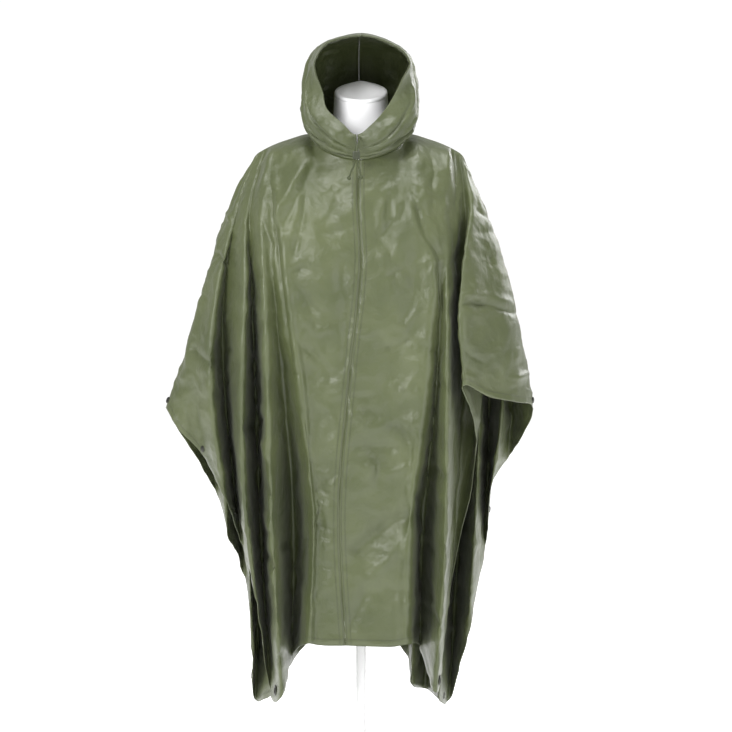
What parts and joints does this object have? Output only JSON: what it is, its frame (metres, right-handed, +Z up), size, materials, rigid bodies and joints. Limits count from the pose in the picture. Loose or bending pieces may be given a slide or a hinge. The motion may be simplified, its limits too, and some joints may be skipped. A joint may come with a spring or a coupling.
{
  "type": "rain poncho on a dress form",
  "caption": "Hooded rectangular rain poncho in olive coated nylon, draped over a white limbless dress form on a round base.",
  "frame": {"origin": "on the underside of the stand's round base, under the poncho's middle, 4 mm from the base's centre", "axes": "+Z up; the poncho's front and the hood's opening face -Y; +X is to the right as seen from the front"},
  "size_m": [0.7367, 0.3525, 1.4473],
  "materials": {
    "coated_nylon": "coated nylon with a soft sheen, crumpled from packing",
    "nylon_binding": "doubled coated nylon, stitched",
    "braided_cord": "braided cord",
    "cord_lock_plastic": "moulded plastic",
    "blackened_metal": "blackened metal",
    "white_form": "white moulded shell, satin",
    "white_stand": "white powder coat"
  },
  "bodies": {
    "root": {"cord_knot_left": "braided_cord", "cord_knot_right": "braided_cord", "cord_left": "braided_cord", "cord_lock": "cord_lock_plastic", "cord_right": "braided_cord", "eyelet_back_left": "blackened_metal", "eyelet_back_right": "blackened_metal", "eyelet_front_left": "blackened_metal", "eyelet_front_right": "blackened_metal", "form_neck_cap": "white_form", "form_torso": "white_form", "hood_casing_left": "nylon_binding", "hood_casing_right": "nylon_binding", "hood_left": "coated_nylon", "hood_right": "coated_nylon", "panel_left": "coated_nylon", "panel_right": "coated_nylon", "snap_back_left_1": "blackened_metal", "snap_back_left_2": "blackened_metal", "snap_back_right_1": "blackened_metal", "snap_back_right_2": "blackened_metal", "snap_front_left_1": "blackened_metal", "snap_front_left_2": "blackened_metal", "snap_front_left_3": "blackened_metal", "snap_front_right_1": "blackened_metal", "snap_front_right_2": "blackened_metal", "stand_base": "white_stand", "stand_pole": "white_stand"}
  },
  "joints": []
}
